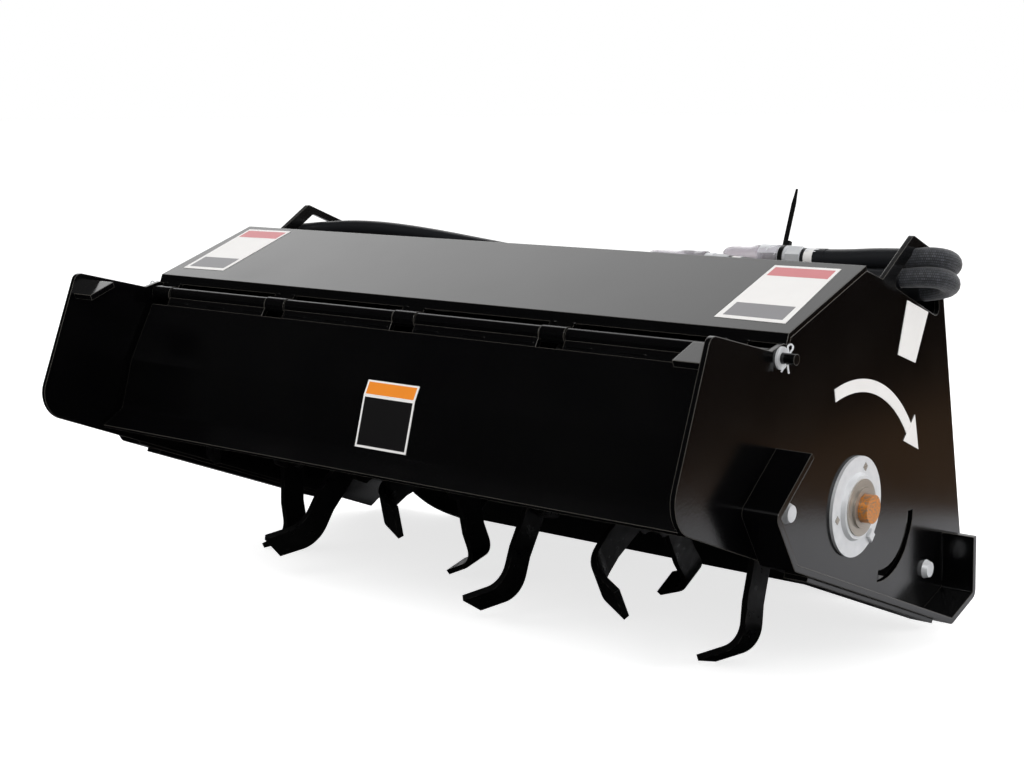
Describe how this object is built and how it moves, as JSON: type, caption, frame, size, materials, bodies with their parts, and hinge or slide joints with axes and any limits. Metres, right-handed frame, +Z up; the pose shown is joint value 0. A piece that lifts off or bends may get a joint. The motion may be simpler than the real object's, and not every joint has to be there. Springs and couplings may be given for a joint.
{
  "type": "hydraulic rotary tiller attachment",
  "caption": "Hydraulic rotary tiller for a mini loader: tined rotor under a steel hood with a hinged flap, skid shoes, loader plate and hoses.",
  "frame": {"origin": "on the floor, under the middle of the object's box without its hoses", "axes": "+X across the machine to the bearing end, +Y towards the loader, +Z up"},
  "size_m": [1.2583, 0.7992, 0.5963],
  "materials": {
    "black_paint": "gloss",
    "zinc_plate": "zinc plated",
    "bearing_steel": "ground",
    "oiled_shaft": "matte",
    "hose_sleeve": "woven",
    "clear_cap": "translucent",
    "black_nylon": "moulded"
  },
  "bodies": {
    "frame": {"side_plate_right": "black_paint", "side_plate_left": "black_paint", "deck": "black_paint", "hose_tray": "black_paint", "rear_wall": "black_paint", "loader_plate": "black_paint", "flap_stops": "black_paint", "skid_right": "black_paint", "skid_left": "black_paint", "wear_strips": "black_paint", "hydraulic_motor": "black_paint", "hinge_rod": "black_paint", "rod_retainers": "zinc_plate", "skid_bolts": "zinc_plate", "bearing_flange": "zinc_plate", "bearing_bolts": "zinc_plate", "hose_fittings": "zinc_plate", "pressure_coupler": "zinc_plate", "return_coupler": "zinc_plate", "bearing_insert": "bearing_steel", "pressure_hose": "hose_sleeve", "return_hose": "hose_sleeve", "dust_caps": "clear_cap", "cable_tie": "black_nylon"},
    "rotor": {"rotor_tube": "black_paint", "stub_shaft": "oiled_shaft", "drive_hub": "black_paint", "rotor_flanges": "black_paint", "tines": "black_paint"},
    "flap": {"flap": "black_paint"}
  },
  "joints": [
    {"name": "rotor_spin", "type": "hinge", "parent": "frame", "child": "rotor", "pos_m": [0.0435, -0.00847, 0.22605], "axis": [-1, 0, 0], "continuous": true},
    {"name": "flap_hinge", "type": "hinge", "parent": "frame", "child": "flap", "pos_m": [0.0435, -0.19109, 0.43111], "axis": [-1, 0, 0], "range_deg": [0, 60]}
  ]
}
